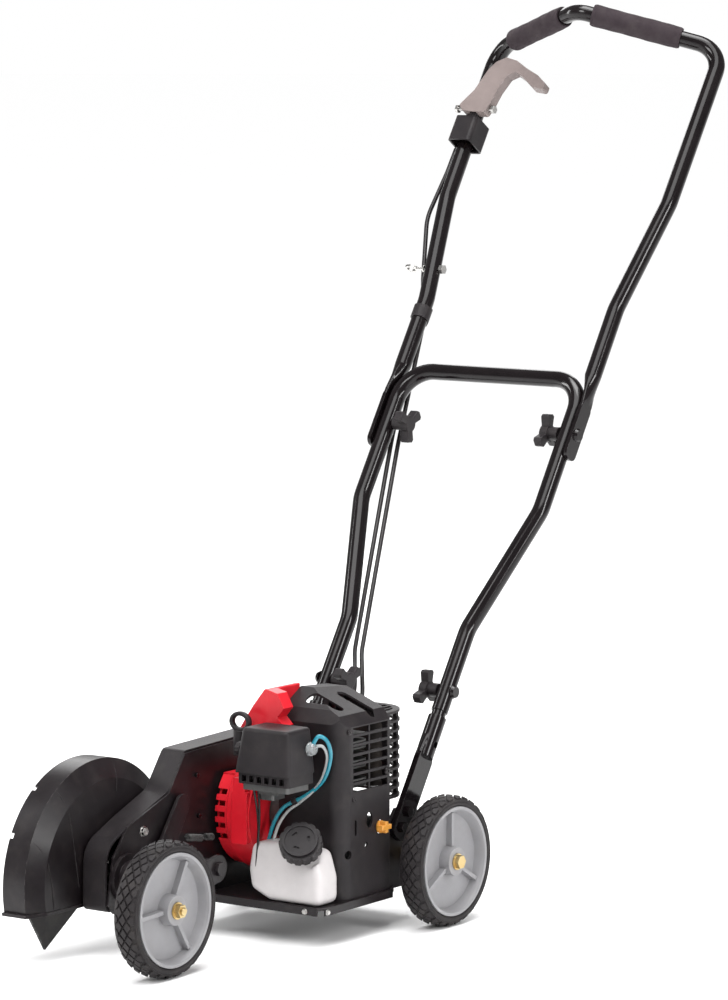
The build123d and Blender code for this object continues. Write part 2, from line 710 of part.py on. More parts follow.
PRIMER_X = 75.2
PRIMER_Y = -203.0
PRIMER_Z = 247.0
PRIMER_R = 8.6
PRIMER_STROKE = 3.0
with BuildPart() as air_cleaner_cover:
    with BuildSketch(Plane.XY.offset(217)):
        with Locations((35, -221)):
            RectangleRounded(84, 60, 7)
    with BuildSketch(Plane.XY.offset(273)):
        with Locations((37, -220)):
            RectangleRounded(70, 52, 7)
    loft()
    fillet(air_cleaner_cover.faces().sort_by(Axis.Z)[-1].edges(), 5)
    with BuildSketch(Plane.XY.offset(203)):
        with Locations((35, -219)):
            RectangleRounded(78, 54, 4)
    extrude(amount=15)
    with BuildSketch(Plane.XY.offset(202)):
        with Locations((35, -219)):
            Rectangle(66, 42)
    extrude(amount=66, mode=Mode.SUBTRACT)
    with BuildSketch(front_plane(-252)):
        for slot in range(6):
            with Locations((6 + 11.5 * slot, 209.5)):
                Rectangle(7, 8)
    extrude(amount=-20, mode=Mode.SUBTRACT)
    # Pocket that the primer bulb's flange sinks into when it is pressed.
    with BuildSketch(facing_x(PRIMER_X - PRIMER_STROKE - 0.3, PRIMER_Y, PRIMER_Z)):
        Circle(PRIMER_R + 0.4)
    extrude(amount=12, mode=Mode.SUBTRACT)
save(air_cleaner_cover, "air_cleaner_cover")

with BuildPart() as carburettor:
    with BuildSketch(Plane.XY.offset(176)):
        with Locations((6, -190)):
            RectangleRounded(26, 26, 3)
    extrude(amount=22)
    with BuildSketch(Plane.XY.offset(196)):
        with Locations((22, -206.5)):
            Circle(8)
    extrude(amount=20)
    with BuildSketch(front_plane(-177.5)):
        with Locations((6, 188)):
            Circle(9)
    extrude(amount=SHROUD_FRONT + 177.5, dir=(0, 1, 0))
    with BuildSketch(Plane.XY.offset(184)):
        with Locations((15, -198)):
            Rectangle(30, 20)
    extrude(amount=16)
    with BuildSketch(Plane.XY.offset(195)):
        with Locations((35, -219)):
            RectangleRounded(70, 46, 4)
    extrude(amount=8)
    with BuildSketch(Plane.XY.offset(203)):
        with Locations((35, -219)):
            RectangleRounded(58, 34, 4)
    extrude(amount=30)
save(carburettor, "carburettor")

with BuildPart() as primer_bulb:
    with BuildSketch(facing_x(PRIMER_X, PRIMER_Y, PRIMER_Z)):
        Circle(PRIMER_R)
    extrude(amount=3)
    with BuildSketch(facing_x(PRIMER_X + 3, PRIMER_Y, PRIMER_Z)):
        Circle(7.5)
    extrude(amount=6)
    fillet(primer_bulb.faces().sort_by(Axis.X)[-1].edges(), 4)
save(primer_bulb, "primer_bulb")

with BuildPart() as oil_plug:
    with BuildSketch(facing_x(SHROUD_X - 9, OIL_Y, OIL_Z)):
        Circle(8)
    extrude(amount=11)
    with BuildSketch(facing_x(SHROUD_X + 2, OIL_Y, OIL_Z)):
        Rectangle(20, 6)
        Rectangle(6, 14)
    extrude(amount=9)
    fillet(oil_plug.faces().sort_by(Axis.X)[-1].edges(), 1.2)
save(oil_plug, "oil_plug")

with BuildPart() as muffler:
    with BuildSketch(Plane.XY.offset(178)):
        with Locations((41, -38)):
            RectangleRounded(58, 36, 12)
    extrude(amount=84)
    fillet(muffler.faces().sort_by(Axis.Z)[-1].edges(), 5)
    with BuildSketch(front_plane(-50)):
        with Locations((44, 222)):
            Circle(9)
    extrude(amount=33)
save(muffler, "muffler")

# Muffler guard: a cage of curved fins that carries on from the shroud round to the back.
CAGE_R = 50.0
CAGE_FINS = 10
CAGE_Z = 164.0
CAGE_PITCH = 12.0


def cage_ring(inset):
    """Half outline of the cage seen from above, from the left face round to the back."""
    left = SHROUD_X - 4
    return [(left - inset, SHROUD_BACK), (left - inset, -CAGE_R), (left - CAGE_R, -inset), (6, -inset)]


with BuildPart() as muffler_guard:
    for fin in range(CAGE_FINS):
        with BuildSketch(Plane.XY.offset(CAGE_Z + CAGE_PITCH * fin)):
            outer = cage_ring(0)
            inner = cage_ring(9)
            with BuildLine():
                Line(outer[0], outer[1])
                RadiusArc(outer[1], outer[2], -CAGE_R)
                Line(outer[2], outer[3])
                Line(outer[3], inner[3])
                Line(inner[3], inner[2])
                RadiusArc(inner[2], inner[1], CAGE_R - 9)
                Line(inner[1], inner[0])
                Line(inner[0], outer[0])
            make_face()
        extrude(amount=3)
    for bar_x in (8, 45):
        with BuildSketch(Plane.XY.offset(CAGE_Z)):
            with Locations((bar_x, -4.5)):
                Rectangle(4, 6)
        extrude(amount=CAGE_PITCH * (CAGE_FINS - 1) + 3)
    with BuildSketch(Plane.XY.offset(CAGE_Z)):
        with Locations((SHROUD_X - 8, SHROUD_BACK + 3)):
            Rectangle(8, 6)
    extrude(amount=CAGE_PITCH * (CAGE_FINS - 1) + 3)
    with BuildSketch(Plane.XY.offset(CAGE_Z)):
        with Locations((SHROUD_X - 21, -19)):
            Rectangle(5, 5)
    extrude(amount=CAGE_PITCH * (CAGE_FINS - 1) + 3)
    # Top: fins run over the muffler toward the roof.
    top_z = CAGE_Z + CAGE_PITCH * (CAGE_FINS - 1)
    for bar in range(6):
        with BuildSketch(Plane.XY.offset(top_z)):
            with Locations((14 + 12 * bar, -35)):
                Rectangle(3, 54 if bar < 4 else 54 - 12 * (bar - 3))
        extrude(amount=3)
save(muffler_guard, "muffler_guard")

# ---- fuel system ---------------------------------------------------------------------------------
TANK_FRONT = -211.0
TANK_BACK = -169.0
with BuildPart() as fuel_tank:
    with BuildSketch(front_plane(TANK_FRONT)):
        with BuildLine():
            Polyline(
                (-16, 88), (-10, 122), (30, 127), (86, 118), (96, 86), (96, DECK_TOP), (16, DECK_TOP),
                (-12, 64), (-16, 88),
            )
        make_face()
        fillet(vertices(), 11)
    extrude(amount=TANK_FRONT - TANK_BACK)
    fillet(fuel_tank.faces().sort_by(Axis.Y)[0].edges(), 9)
    fillet(fuel_tank.faces().sort_by(Axis.Y)[-1].edges(), 9)
    CAP_AXIS = Vector(0.35, -0.70, 0.62).normalized()
    CAP_ROOT = Vector(58, -192, 112)
    with BuildSketch(Plane(origin=CAP_ROOT + CAP_AXIS * 12, z_dir=CAP_AXIS)):
        Circle(29.5)
    extrude(amount=30, mode=Mode.SUBTRACT)
    with BuildSketch(Plane(origin=CAP_ROOT, z_dir=CAP_AXIS)):
        Circle(17)
    extrude(amount=20)
save(fuel_tank, "fuel_tank")

with BuildPart() as fuel_cap:
    with BuildSketch(Plane(origin=CAP_ROOT + CAP_AXIS * 20.2, z_dir=CAP_AXIS)):
        Circle(27)
        with PolarLocations(28.4, 14):
            Circle(3, mode=Mode.SUBTRACT)
    extrude(amount=14)
    with BuildSketch(Plane(origin=CAP_ROOT + CAP_AXIS * 34.2, z_dir=CAP_AXIS)):
        Circle(22.5)
    extrude(amount=4)
    with BuildSketch(Plane(origin=CAP_ROOT + CAP_AXIS * 38.2, z_dir=CAP_AXIS)):
        Circle(19)
    extrude(amount=-1.6, mode=Mode.SUBTRACT)
    with BuildSketch(Plane(origin=CAP_ROOT + CAP_AXIS * 36.6, z_dir=CAP_AXIS)):
        with PolarLocations(11, 3):
            Rectangle(3, 7)
    extrude(amount=-2, mode=Mode.SUBTRACT)
save(fuel_cap, "fuel_cap")

with BuildPart() as fuel_lines:
    add(tube_along(
        [(60, -190.6, 236), (66, -172, 256), (86, -168.6, 240), (74, -168.6, 205), (30, -168.6, 168),
         (-3, -168.6, 150), (-5, -184, 123.3)],
        [8, 10, 12, 25, 9], 2.5, 0).part)
    add(tube_along(
        [(31, -190, 190), (44, -176, 176), (12, -175, 155), (7, -184, 125.4)], [6, 10], 2.0, 0).part)
save(fuel_lines, "fuel_lines")

with BuildPart() as starter_handle:
    with BuildSketch(front_plane(-199)):
        with Locations((-31, 271)):
            Ellipse(16, 13)
            Ellipse(10, 7.5, mode=Mode.SUBTRACT)
    extrude(amount=8)
    fillet(starter_handle.edges().filter_by(GeomType.ELLIPSE), 2.5)
    with BuildSketch(Plane(origin=(-31, -203, 229), z_dir=(0, 0, 1))):
        Circle(9)
    extrude(amount=31)
    with BuildSketch(Plane(origin=(-31, -203, 223), z_dir=(0, 0, 1))):
        Circle(2)
    extrude(amount=8)
save(starter_handle, "starter_handle")

# ---- handle --------------------------------------------------------------------------------------
BOLT_R = 4.0
NECK_R = 9.4
KNOB_STEM = 14.0
KNOB_T = 12.0
FLAT_X = UPPER_X + 2 + FLAT_T / 2
LOOP_R = 45.0


def along(x, s, n=0.0):
    """A plane across the handle that looks up it; its own X is world X."""
    return Plane(origin=on_handle(x, s, n), x_dir=(1, 0, 0), z_dir=(0, COS, SIN))


def face_plane(n):
    """A plane on the handle's front; its own X is world X and its own Y runs up the handle."""
    return Plane(origin=on_handle(0, 0, n), x_dir=(1, 0, 0), z_dir=(0, -SIN, COS))


def base_tube(side, label):
    """A foot tube: flattened where it bolts to the deck's ear, necked down to enter the handle."""
    flat_x = side * (EAR_X + DECK_T + 4)
    with BuildPart() as shoulder:
        with BuildSketch(along(flat_x, 96)):
            RectangleRounded(7.9, 31, 3.5)
        with BuildSketch(along(side * FOOT_X, 122)):
            Circle(12)
        loft()
    with BuildPart() as made:
        with BuildSketch(handle_plane(flat_x, 40)):
            RectangleRounded(120, 32, 10)
        extrude(amount=4, both=True)
        with BuildSketch(along(side * FOOT_X, 94)):
            Circle(12)
        extrude(amount=56)
        add(shoulder.part)
        with BuildSketch(along(side * FOOT_X, 122)):
            Circle(NECK_R)
        extrude(amount=93)
        with BuildSketch(handle_plane(side * FOOT_X - 20, 0)):
            with Locations((112, 0), (LOWER_BOLT_S, 0)):
                Circle(BOLT_R + 0.1)
        extrude(amount=40, mode=Mode.SUBTRACT)
    save(made, label)


base_tube(1, "base_tube_left")
base_tube(-1, "base_tube_right")

with BuildPart() as base_tube_bolts:
    for side in (1, -1):
        for bolt_s in (-4, 18):
            root = on_handle(side * (EAR_X + DECK_T + 8), bolt_s)
            with BuildSketch(Plane(origin=root, x_dir=(0, COS, SIN), z_dir=(side, 0, 0))):
                RegularPolygon(7, 6)
            extrude(amount=4.5)
save(base_tube_bolts, "base_tube_bolts")


def mirrored(points):
    """The points of one side and then the other side's in reverse, for a symmetric loop."""
    return points + [(-x, y, z) for x, y, z in reversed(points)]


LOWER_ROUTE = mirrored([
    on_handle(FOOT_X, 158), on_handle(FOOT_X, NARROW_S),
    on_handle(WIDE_X, WIDE_S), on_handle(WIDE_X, BAR_S),
])
lower_handle = tube_along(LOWER_ROUTE, [60, 60, LOOP_R, LOOP_R, 60, 60], TUBE_R, TUBE_WALL)
with BuildPart() as lower_handle_drilled:
    add(lower_handle.part)
    with BuildSketch(side_plane(-200)):
        with Locations(on_handle(0, LOWER_BOLT_S)[1:], on_handle(0, FOLD_S)[1:]):
            Circle(BOLT_R + 0.1)
    extrude(amount=400, mode=Mode.SUBTRACT)
save(lower_handle_drilled, "lower_handle")

UPPER_HALF = [
    on_handle(UPPER_X, 650), on_handle(UPPER_X, FLARE_S),
    on_handle(SPREAD_X, SPREAD_S), on_handle(TOP_X, TOP_S),
]
UPPER_ROUTE = UPPER_HALF + [(0, PEAK_Y, PEAK_Z)] + [(-x, y, z) for x, y, z in reversed(UPPER_HALF)]
UPPER_RADII = [80, 80, 35, 30, 35, 80, 80]
handle_core = tube_along(UPPER_ROUTE, UPPER_RADII, TUBE_R + 0.02, 0)
with BuildPart() as upper_handle:
    add(tube_along(UPPER_ROUTE, UPPER_RADII, TUBE_R, TUBE_WALL).part)
    for side in (1, -1):
        with BuildSketch(handle_plane(side * FLAT_X, 569)):
            RectangleRounded(82, 24, 10)
        extrude(amount=FLAT_T / 2, both=True)
        with BuildSketch(along(side * FLAT_X, 599)):
            RectangleRounded(FLAT_T, 24, 2)
        extrude(amount=11)
        with BuildSketch(along(side * FLAT_X, 610)):
            RectangleRounded(FLAT_T, 24, 2)
        with BuildSketch(along(side * UPPER_X, 650)):
            Circle(TUBE_R)
        loft()
    with BuildSketch(side_plane(-200)):
        with Locations(on_handle(0, FOLD_S)[1:]):
            Circle(BOLT_R + 0.06)
    extrude(amount=400, mode=Mode.SUBTRACT)
save(upper_handle, "upper_handle")

BAR_DIR = (Vector(*on_handle(TOP_X, TOP_S)) - Vector(0, PEAK_Y, PEAK_Z)).normalized()


def grip(side, start, end, label):
    """A foam sleeve on one half of the top bar, between two distances from its middle."""
    direction = Vector(side * BAR_DIR.X, BAR_DIR.Y, BAR_DIR.Z)
    with BuildPart() as made:
        with BuildSketch(Plane(origin=Vector(0, PEAK_Y, PEAK_Z) + direction * start, z_dir=direction)):
            Circle(15.5)
            Circle(TUBE_R + 0.02, mode=Mode.SUBTRACT)
        extrude(amount=end - start)
    save(made, label)


grip(1, 22, 146, "grip_left")
grip(-1, 32, 164, "grip_right")


def knob(side, face_x, s, label):
    """A three-lobed clamping knob on the inboard end of a handle bolt."""
    def inward(depth):
        return Plane(origin=on_handle(side * (face_x - depth), s), x_dir=(0, COS, SIN), z_dir=(-side, 0, 0))

    with BuildPart() as made:
        with BuildSketch(inward(0)):
            Circle(9)
        extrude(amount=KNOB_STEM)
        with BuildSketch(inward(KNOB_STEM)):
            Circle(11)
            with PolarLocations(0, 3, start_angle=90):
                Polygon((4, -4), (22, -7), (25, -4), (25, 4), (22, 7), (4, 4), align=None)
        extrude(amount=KNOB_T)
        fillet(made.faces().sort_by(Axis.X)[0 if side > 0 else -1].edges(), 1.6)
        with BuildSketch(inward(0)):
            Circle(BOLT_R + RUN_FIT)
        extrude(amount=23, mode=Mode.SUBTRACT)
    save(made, label)


KNOB_UPPER_X = WIDE_X - TUBE_R
KNOB_LOWER_X = FOOT_X - TUBE_R
knob(1, KNOB_UPPER_X, FOLD_S, "upper_knob_left")
knob(-1, KNOB_UPPER_X, FOLD_S, "upper_knob_right")
knob(1, KNOB_LOWER_X, LOWER_BOLT_S, "lower_knob_left")
knob(-1, KNOB_LOWER_X, LOWER_BOLT_S, "lower_knob_right")

with BuildPart() as handle_bolts:
    for side in (1, -1):
        for head_x, tip_x, bolt_s in (
            (FLAT_X + FLAT_T / 2, KNOB_UPPER_X - 22, FOLD_S),
            (FOOT_X + TUBE_R, KNOB_LOWER_X - 22, LOWER_BOLT_S),
        ):
            root = on_handle(side * head_x, bolt_s)
            head = Plane(origin=root, x_dir=(0, COS, SIN), z_dir=(side, 0, 0))
            with BuildSketch(head):
                Circle(9)
            extrude(amount=4, taper=25)
            with BuildSketch(head):
                Circle(BOLT_R)
            extrude(amount=tip_x - head_x)
save(handle_bolts, "handle_bolts")

# ---- controls on the right tube ------------------------------------------------------------------
BRACKET_X = -176.0
BRACKET_S = 992.0
BRACKET_L = 38.0
BRACKET_W = 36.0
BRACKET_D = 40.0
LEVER_S = 1040.0
LEVER_N = 23.0
with BuildPart() as lever_bracket:
    with BuildSketch(along(BRACKET_X, BRACKET_S, 4)):
        RectangleRounded(BRACKET_W, BRACKET_D, 6)
    extrude(amount=BRACKET_L)
    with BuildSketch(along(BRACKET_X, BRACKET_S, 4)):
        RectangleRounded(BRACKET_W - 5, BRACKET_D - 6, 4)
    extrude(amount=16, mode=Mode.SUBTRACT)
    with BuildSketch(along(-165, BRACKET_S + BRACKET_L, LEVER_N - 2)):
        Rectangle(8, 8)
    extrude(amount=14)
    add(handle_core.part, mode=Mode.SUBTRACT)
    with BuildSketch(handle_plane(-180, LEVER_S, LEVER_N)):
        Circle(3)
    extrude(amount=30, mode=Mode.SUBTRACT)
save(lever_bracket, "lever_bracket")

LEVER_OUTLINE = [
    (-189, 1043), (-181, 1034), (-144, 1032), (-139, 1046), (-135, 1069), (-127, 1091), (-116, 1097),
    (-103, 1090), (-81, 1073), (-62, 1070), (-62, 1080), (-78, 1092), (-100, 1103), (-120, 1115), (-139, 1120),
    (-153, 1113), (-162, 1100), (-173, 1067),
]
with BuildPart() as throttle_lever:
    with BuildSketch(face_plane(LEVER_N - 7)):
        Polygon(*LEVER_OUTLINE, align=None)
        fillet(vertices(), 3)
    extrude(amount=14)
    with BuildSketch(face_plane(LEVER_N - 7)):
        Polygon(*LEVER_OUTLINE, align=None)
        fillet(vertices(), 3)
        offset(amount=-2.2)
    extrude(amount=11.8, mode=Mode.SUBTRACT)
    with BuildSketch(face_plane(LEVER_N - 8)):
        with Locations((-165, 1036)):
            Rectangle(12, 24)
    extrude(amount=12.8, mode=Mode.SUBTRACT)
    with BuildSketch(handle_plane(-200, LEVER_S, LEVER_N)):
        Circle(3 + RUN_FIT)
    extrude(amount=80, mode=Mode.SUBTRACT)
save(throttle_lever, "throttle_lever")

with BuildPart() as lever_pivot_bolt:
    with BuildSketch(handle_plane(-192, LEVER_S, LEVER_N)):
        Circle(3)
    extrude(amount=55)
    with BuildSketch(handle_plane(-192, LEVER_S, LEVER_N)):
        RegularPolygon(6, 6)
    extrude(amount=-3.5)
    with BuildSketch(handle_plane(-137, LEVER_S, LEVER_N)):
        RegularPolygon(6, 6)
    extrude(amount=4)
save(lever_pivot_bolt, "lever_pivot_bolt")

# Rope guide: an eye on a stem outside the right tube, held by a nut on the tube's inner side.
EYE_S = 800.0
EYE_X = -(UPPER_X + (SPREAD_X - UPPER_X) * (EYE_S - FLARE_S) / (SPREAD_S - FLARE_S))
EYE_OUT = EYE_X - TUBE_R - 1.4
EYE_IN = EYE_X + TUBE_R + 1.4
with BuildPart() as rope_guide:
    with BuildSketch(handle_plane(EYE_IN, EYE_S)):
        RegularPolygon(6.5, 6)
    extrude(amount=6)
    with BuildSketch(handle_plane(EYE_OUT, EYE_S)):
        Circle(5)
    extrude(amount=-2)
    with BuildSketch(handle_plane(EYE_OUT, EYE_S)):
        Circle(2)
    extrude(amount=-16)
    with BuildSketch(along(EYE_OUT - 22, EYE_S)):
        Ellipse(10, 8)
        Ellipse(6.6, 4.8, mode=Mode.SUBTRACT)
    extrude(amount=1.7, both=True)
save(rope_guide, "rope_guide")

# Cables run outboard of and behind the right tube, in an upper and a lower length.
CLIP_S = 722.0
CABLE_R = 3.0
UPPER_A = [
    on_handle(-193, 991, -2), on_handle(-193.5, 955, -2), on_handle(-199, 880, -1),
    on_handle(-176, 790, -9), on_handle(-163, 752, -11), on_handle(-163, CLIP_S, -11),
]
UPPER_B = [
    on_handle(-188, 991, -12), on_handle(-187, 913, -12), on_handle(-154, 762, -15.6),
    on_handle(-154, CLIP_S, -15.6),
]
with BuildPart() as upper_cables:
    add(tube_along(UPPER_A, [90, 90, 90, 40], CABLE_R, 0).part)
    add(tube_along(UPPER_B, [120, 60], CABLE_R, 0).part)
save(upper_cables, "upper_cables")

LOWER_A = [
    on_handle(-163, CLIP_S - 1, -11), on_handle(-142, 545, -21), on_handle(-84, 240, -22),
    (-66, 92, 254), (-30, -119, 258),
]
LOWER_B = [
    on_handle(-154, CLIP_S - 1, -15.6), on_handle(-134, 545, -26), on_handle(-76, 240, -27),
    (-56, 96, 246), (-17, -119, 248),
]
with BuildPart() as lower_cables:
    add(tube_along(LOWER_A, [250, 60, 40], CABLE_R, 0).part)
    add(tube_along(LOWER_B, [250, 60, 40], CABLE_R, 0).part)
save(lower_cables, "lower_cables")

with BuildPart() as cable_clip:
    for inset, mode in ((0, Mode.ADD), (1.8, Mode.SUBTRACT)):
        with BuildSketch(along(-UPPER_X, CLIP_S, 0)):
            Circle(TUBE_R + 1.82 - inset)
            with Locations((-12, 11), (-3, 15.6)):
                Circle(CABLE_R + 2 - inset)
            make_hull()
        extrude(amount=18, mode=mode)
save(cable_clip, "cable_clip")
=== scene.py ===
import json
import math

import bmesh
import bpy
import numpy as np
from mathutils import Matrix, Vector


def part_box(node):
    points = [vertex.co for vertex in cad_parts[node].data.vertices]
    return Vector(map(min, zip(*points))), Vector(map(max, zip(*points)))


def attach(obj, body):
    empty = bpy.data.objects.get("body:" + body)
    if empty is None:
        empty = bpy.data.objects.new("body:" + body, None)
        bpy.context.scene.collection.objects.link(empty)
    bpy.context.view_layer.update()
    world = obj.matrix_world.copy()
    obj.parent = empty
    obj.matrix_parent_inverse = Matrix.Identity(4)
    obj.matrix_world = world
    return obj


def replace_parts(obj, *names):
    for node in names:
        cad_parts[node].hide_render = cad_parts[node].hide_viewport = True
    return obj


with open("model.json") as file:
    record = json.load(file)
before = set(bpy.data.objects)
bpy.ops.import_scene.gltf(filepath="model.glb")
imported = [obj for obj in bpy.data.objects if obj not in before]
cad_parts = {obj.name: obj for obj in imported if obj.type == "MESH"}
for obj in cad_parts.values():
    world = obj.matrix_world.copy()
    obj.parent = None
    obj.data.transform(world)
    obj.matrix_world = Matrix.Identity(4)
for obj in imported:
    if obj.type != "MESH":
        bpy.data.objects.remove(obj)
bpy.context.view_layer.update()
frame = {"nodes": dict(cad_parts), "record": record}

NODES = frame["nodes"]
TURN = 2 * math.pi


# ---- materials -----------------------------------------------------------------------------------
def add_node(tree, kind, **values):
    """A shader node with its named inputs set; an underscore stands for a space."""
    node = tree.nodes.new("ShaderNode" + kind)
    for name, value in values.items():
        node.inputs[name.replace("_", " ")].default_value = value
    return node


def noise(tree, coords, scale, detail, roughness=0.5):
    node = add_node(tree, "TexNoise", Scale=scale, Detail=detail, Roughness=roughness)
    tree.links.new(coords.outputs["Object"], node.inputs["Vector"])
    return node.outputs["Fac"]


def mapped(tree, value, low=0.0, high=1.0, to_low=0.0, to_high=1.0):
    """A value between low and high, carried over to another range and held to it."""
    node = add_node(tree, "MapRange", From_Min=low, From_Max=high, To_Min=to_low, To_Max=to_high)
    tree.links.new(value, node.inputs["Value"])
    return node.outputs["Result"]


def calculated(tree, operation, first, second):
    node = tree.nodes.new("ShaderNodeMath")
    node.operation = operation
    for socket, value in zip(node.inputs, (first, second)):
        if isinstance(value, float):
            socket.default_value = value
        else:
            tree.links.new(value, socket)
    return node.outputs["Value"]


def mixed(tree, factor, first, second):
    """Two colours mixed by a factor; each is a plain colour or another node's output."""
    node = tree.nodes.new("ShaderNodeMix")
    node.data_type = "RGBA"
    for name, colour in (("A", first), ("B", second)):
        if isinstance(colour, tuple):
            node.inputs[name].default_value = (*colour, 1)
        else:
            tree.links.new(colour, node.inputs[name])
    tree.links.new(factor, node.inputs["Factor"])
    return node.outputs["Result"]


def rounded_normal(tree, radius):
    """The surface normal with edges rounded to a radius."""
    node = add_node(tree, "Bevel", Radius=radius)
    node.samples = 4
    return node.outputs["Normal"]


def edge_wear(tree, coords, amount):
    """A mask of chipped patches along the outer edges."""
    geometry = tree.nodes.new("ShaderNodeNewGeometry")
    turn = tree.nodes.new("ShaderNodeVectorMath")
    turn.operation = "DOT_PRODUCT"
    tree.links.new(rounded_normal(tree, 0.0012), turn.inputs[0])
    tree.links.new(geometry.outputs["Normal"], turn.inputs[1])
    edges = mapped(tree, turn.outputs["Value"], low=0.985, high=0.86)
    chips = mapped(tree, noise(tree, coords, 140.0, 4.0), low=0.5, high=0.62, to_high=amount)
    return calculated(tree, "MULTIPLY", edges, chips)


DUST_COLOUR = (0.23, 0.20, 0.17)


def surface(name, color, rough, metal=0.0, second=None, blotch=18.0, grain=900.0, bump=0.06,
            rough_var=0.12, wear=None, wear_amount=0.0, coat=0.0, transmission=0.0, dust=0.0,
            edge=0.0006, spec=0.5):
    """A procedural finish: mottled colour, grained roughness and bump, soft edges, wear and dust."""
    mat = bpy.data.materials.new(name)
    mat.use_nodes = True
    tree = mat.node_tree
    bsdf = tree.nodes["Principled BSDF"]
    coords = tree.nodes.new("ShaderNodeTexCoord")
    big = noise(tree, coords, blotch, 6.0, roughness=0.62)
    fine = noise(tree, coords, grain, 3.0)

    other = second or tuple(min(1.0, c * 1.35 + 0.004) for c in color)
    colour = mixed(tree, mapped(tree, big, low=0.38, high=0.66), color, other)
    if wear_amount > 0:
        colour = mixed(tree, edge_wear(tree, coords, wear_amount), colour, wear)
    if dust > 0:
        specks = mapped(tree, noise(tree, coords, 55.0, 8.0), low=0.5, high=0.75, to_high=dust)
        colour = mixed(tree, specks, colour, DUST_COLOUR)
    tree.links.new(colour, bsdf.inputs["Base Color"])

    uneven = calculated(tree, "MULTIPLY", calculated(tree, "ADD", fine, big), 0.5)
    shine = mapped(tree, uneven, to_low=max(0.03, rough - rough_var), to_high=min(1.0, rough + rough_var))
    tree.links.new(shine, bsdf.inputs["Roughness"])
    relief = add_node(tree, "Bump", Strength=min(1.0, bump * 4), Distance=0.0004)
    tree.links.new(fine, relief.inputs["Height"])
    tree.links.new(rounded_normal(tree, edge), relief.inputs["Normal"])
    tree.links.new(relief.outputs["Normal"], bsdf.inputs["Normal"])

    bsdf.inputs["Metallic"].default_value = metal
    bsdf.inputs["Coat Weight"].default_value = coat
    bsdf.inputs["Coat Roughness"].default_value = 0.12
    bsdf.inputs["Transmission Weight"].default_value = transmission
    bsdf.inputs["IOR"].default_value = 1.46
    bsdf.inputs["Specular IOR Level"].default_value = spec
    return mat


M = {
    "tyre": surface("tyre_rubber", (0.010, 0.008, 0.009), 0.60, second=(0.019, 0.016, 0.017),
                    bump=0.12, dust=0.06, spec=0.3),
    "hub": surface("grey_hub_plastic", (0.235, 0.232, 0.242), 0.42, second=(0.275, 0.272, 0.282),
                   bump=0.05, grain=1400, dust=0.12, edge=0.001, spec=0.35),
    "zinc": surface("yellow_zinc", (0.50, 0.34, 0.13), 0.34, metal=1.0, second=(0.60, 0.50, 0.28),
                    bump=0.06),
    "black_paint": surface("black_enamel", (0.0080, 0.0058, 0.0068), 0.34,
                           second=(0.013, 0.0105, 0.0118), coat=0.05, bump=0.05, grain=420,
                           wear=(0.14, 0.12, 0.125), wear_amount=0.5, dust=0.03, spec=0.3),
    "black_plastic": surface("black_moulded_plastic", (0.0100, 0.0078, 0.0090), 0.46,
                             second=(0.0165, 0.0135, 0.0150), bump=0.12, grain=1500,
                             wear=(0.07, 0.062, 0.065), wear_amount=0.35, dust=0.03, spec=0.3),
    "bright_steel": surface("bright_steel", (0.56, 0.55, 0.53), 0.28, metal=1.0,
                            second=(0.42, 0.41, 0.40), bump=0.05),
    "blade_steel": surface("blade_steel", (0.012, 0.011, 0.0115), 0.42, metal=0.3,
                           second=(0.028, 0.026, 0.025), bump=0.09, blotch=40,
                           wear=(0.30, 0.29, 0.28), wear_amount=0.9, dust=0.03, spec=0.3),
    "belt_rubber": surface("belt_rubber", (0.014, 0.014, 0.014), 0.7, bump=0.12),
    "aluminium": surface("cast_aluminium", (0.075, 0.075, 0.075), 0.46, metal=0.7,
                         second=(0.13, 0.13, 0.128), bump=0.16, grain=520, dust=0.06),
    "red_plastic": surface("red_housing", (0.56, 0.008, 0.018), 0.36, second=(0.66, 0.014, 0.026),
                           bump=0.06, grain=1300, wear=(0.70, 0.12, 0.12), wear_amount=0.3,
                           coat=0.1, dust=0.015, spec=0.4),
    "clear_bulb": surface("clear_bulb", (0.62, 0.65, 0.66), 0.12, second=(0.74, 0.76, 0.77),
                          bump=0.02, transmission=0.8),
    "orange_plastic": surface("amber_plug", (0.56, 0.235, 0.035), 0.32, second=(0.66, 0.31, 0.06),
                              bump=0.04, coat=0.2),
    "muffler_steel": surface("dark_heated_steel", (0.016, 0.013, 0.012), 0.6, metal=0.3,
                             second=(0.035, 0.027, 0.022), bump=0.10, blotch=30, dust=0.05,
                             spec=0.3),
    "white_tank": surface("translucent_white_tank", (0.50, 0.475, 0.475), 0.30,
                          second=(0.56, 0.535, 0.535), bump=0.04, grain=800, dust=0.02, edge=0.002),
    "blue_tube": surface("blue_fuel_line", (0.008, 0.19, 0.26), 0.26, second=(0.015, 0.26, 0.34),
                         bump=0.03, coat=0.4),
    "clear_tube": surface("clear_return_line", (0.50, 0.52, 0.52), 0.2, second=(0.60, 0.62, 0.61),
                          transmission=0.3),
    "black_gloss": surface("gloss_black_tube", (0.0045, 0.0031, 0.0036), 0.13,
                           second=(0.0075, 0.0056, 0.0062), coat=0.08, bump=0.02, grain=260,
                           rough_var=0.05, wear=(0.09, 0.08, 0.08), wear_amount=0.3, spec=0.32),
    "foam": surface("grip_foam", (0.030, 0.022, 0.026), 0.88, second=(0.042, 0.033, 0.037),
                    bump=0.25, grain=2200, blotch=60, dust=0.04, spec=0.2),
    "grey_paint": surface("warm_grey_lever", (0.158, 0.128, 0.122), 0.40,
                          second=(0.195, 0.160, 0.152), bump=0.05, wear=(0.42, 0.39, 0.38),
                          wear_amount=0.4, spec=0.35),
    "cable": surface("cable_sleeve", (0.009, 0.007, 0.0078), 0.30, second=(0.016, 0.013, 0.0138),
                     bump=0.04),
}

